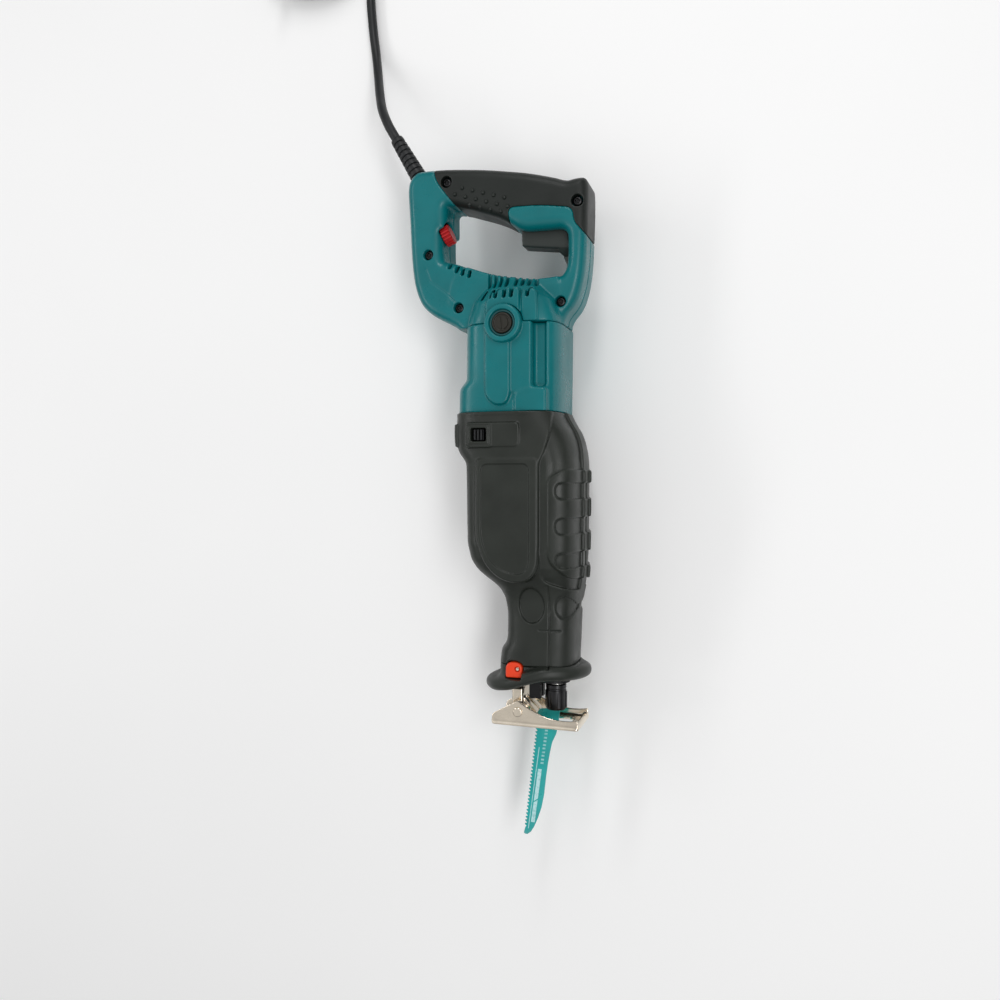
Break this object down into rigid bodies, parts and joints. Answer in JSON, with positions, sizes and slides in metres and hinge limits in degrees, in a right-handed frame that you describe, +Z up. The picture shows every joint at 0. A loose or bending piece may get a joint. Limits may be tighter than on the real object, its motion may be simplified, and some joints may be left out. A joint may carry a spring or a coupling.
{
  "type": "reciprocating saw",
  "caption": "Corded reciprocating saw with a D-handle, rubber-covered gear housing, pivoting shoe and a blade, lying on its left side.",
  "frame": {"origin": "bottom centre of the saw without its cord, as it lies on its left side", "axes": "+X forward along the blade, +Y towards the top of the saw in use, +Z up, out of its right side"},
  "size_m": [0.9205, 0.3977, 0.0978],
  "materials": {
    "teal_shell": "fine moulded grain",
    "elastomer": "matt overmould",
    "black_plastic": "satin",
    "cord_rubber": "matt jacket",
    "trigger_plastic": "satin",
    "red_plastic": "satin",
    "orange_plastic": "satin",
    "black_steel": "black oxide",
    "bare_steel": "ground",
    "shoe_steel": "satin plating",
    "gear_aluminium": "cast",
    "laminated_steel": "stacked",
    "copper_bars": "turned",
    "brush_carbon": "pressed",
    "blade_paint": "thin lacquer"
  },
  "bodies": {
    "housing": {"handle_right": "teal_shell", "handle_left": "teal_shell", "motor_housing": "teal_shell", "grip_cover": "elastomer", "rubber_boot": "elastomer", "nose_flange": "elastomer", "switch_unit": "black_plastic", "speed_controller": "black_plastic", "cord_clamp": "black_plastic", "brush_holder_right": "black_plastic", "brush_holder_left": "black_plastic", "brush_cap_right": "black_plastic", "brush_cap_left": "black_plastic", "plug": "black_plastic", "cord_tie": "black_plastic", "cord_guard": "cord_rubber", "cord_run": "cord_rubber", "cord_coil": "cord_rubber", "cord_tail": "cord_rubber", "handle_screw_1": "black_steel", "handle_screw_2": "black_steel", "handle_screw_3": "black_steel", "handle_screw_4": "black_steel", "handle_screw_5": "black_steel", "trigger_pin": "bare_steel", "rear_bearing": "bare_steel", "front_bearing": "bare_steel", "crank_bearing_upper": "bare_steel", "crank_bearing_lower": "bare_steel", "housing_screw_1": "bare_steel", "housing_screw_2": "bare_steel", "housing_screw_3": "bare_steel", "housing_screw_4": "bare_steel", "gear_housing": "gear_aluminium", "gear_housing_cover": "gear_aluminium", "field_stator": "laminated_steel", "carbon_brush_right": "brush_carbon", "carbon_brush_left": "brush_carbon"},
    "trigger": {"trigger": "trigger_plastic"},
    "lock_button": {"lock_button": "black_plastic"},
    "speed_dial": {"speed_dial": "red_plastic"},
    "orbit_selector": {"orbit_selector": "black_plastic"},
    "armature": {"armature_shaft": "bare_steel", "armature_core": "laminated_steel", "commutator": "copper_bars", "cooling_fan": "black_plastic"},
    "crank": {"crank_gear": "bare_steel", "crank_shaft": "bare_steel", "crank_pin": "bare_steel"},
    "guide": {"guide_sleeve": "bare_steel", "dust_seal": "elastomer"},
    "plunger": {"plunger": "bare_steel", "clamp_pin": "bare_steel", "blade": "blade_paint"},
    "clamp_sleeve": {"clamp_sleeve": "black_steel"},
    "counterweight": {"counterweight": "laminated_steel"},
    "shoe_arm": {"shoe_arm": "shoe_steel", "shoe_pin": "shoe_steel"},
    "shoe": {"shoe": "shoe_steel"},
    "shoe_release": {"shoe_release": "orange_plastic"}
  },
  "joints": [
    {"name": "trigger_squeeze", "type": "hinge", "parent": "housing", "child": "trigger", "pos_m": [-0.19959, 0.06544, 0.0485], "axis": [0, 0, 1], "range_deg": [-7, 0], "stiffness_Nm_per_rad": 0.6, "springref_deg": 2.86},
    {"name": "lock_press", "type": "slide", "parent": "housing", "child": "lock_button", "axis": [0, 0, 1], "range_m": [0, 0.003], "stiffness_N_per_m": 120, "springref_m": -0.002},
    {"name": "dial_turn", "type": "hinge", "parent": "housing", "child": "speed_dial", "pos_m": [-0.23209, -0.04596, 0.0575], "axis": [-0.3746, 0.9272, 0], "range_deg": [-125, 125]},
    {"name": "orbit_select", "type": "slide", "parent": "housing", "child": "orbit_selector", "axis": [0, 1, 0], "range_m": [-0.0018, 0.0032]},
    {"name": "armature_spin", "type": "hinge", "parent": "housing", "child": "armature", "pos_m": [-0.10959, 0.01544, 0.0485], "axis": [1, 0, 0], "continuous": true},
    {"name": "crank_spin", "type": "hinge", "parent": "housing", "child": "crank", "pos_m": [0.00041, 0.01944, 0.0485], "axis": [0, 1, 0], "continuous": true},
    {"name": "orbit_rock", "type": "hinge", "parent": "housing", "child": "guide", "pos_m": [0.06741, 0.04904, 0.0485], "axis": [0, 0, 1], "range_deg": [-1, 0]},
    {"name": "plunger_stroke", "type": "slide", "parent": "guide", "child": "plunger", "axis": [1, 0, 0], "range_m": [-0.028, 0.004]},
    {"name": "counterweight_stroke", "type": "slide", "parent": "housing", "child": "counterweight", "axis": [1, 0, 0], "range_m": [-0.002, 0.014]},
    {"name": "clamp_turn", "type": "hinge", "parent": "plunger", "child": "clamp_sleeve", "pos_m": [0.16441, 0.04904, 0.0485], "axis": [1, 0, 0], "range_deg": [0, 60], "stiffness_Nm_per_rad": 0.05, "springref_deg": -11.46},
    {"name": "shoe_adjust", "type": "slide", "parent": "housing", "child": "shoe_arm", "axis": [1, 0, 0], "range_m": [0, 0.02]},
    {"name": "shoe_tilt", "type": "hinge", "parent": "shoe_arm", "child": "shoe", "pos_m": [0.17551, 0.02094, 0.0485], "axis": [0, 0, 1], "range_deg": [-15, 15]},
    {"name": "shoe_release_press", "type": "slide", "parent": "housing", "child": "shoe_release", "axis": [0, 0, 1], "range_m": [-0.003, 0], "stiffness_N_per_m": 200, "springref_m": 0.001}
  ],
  "couplings": [
    {"joint": "crank_spin", "follows": "armature_spin", "ratio": 0.21622},
    {"joint": "counterweight_stroke", "follows": "plunger_stroke", "ratio": -0.5}
  ]
}
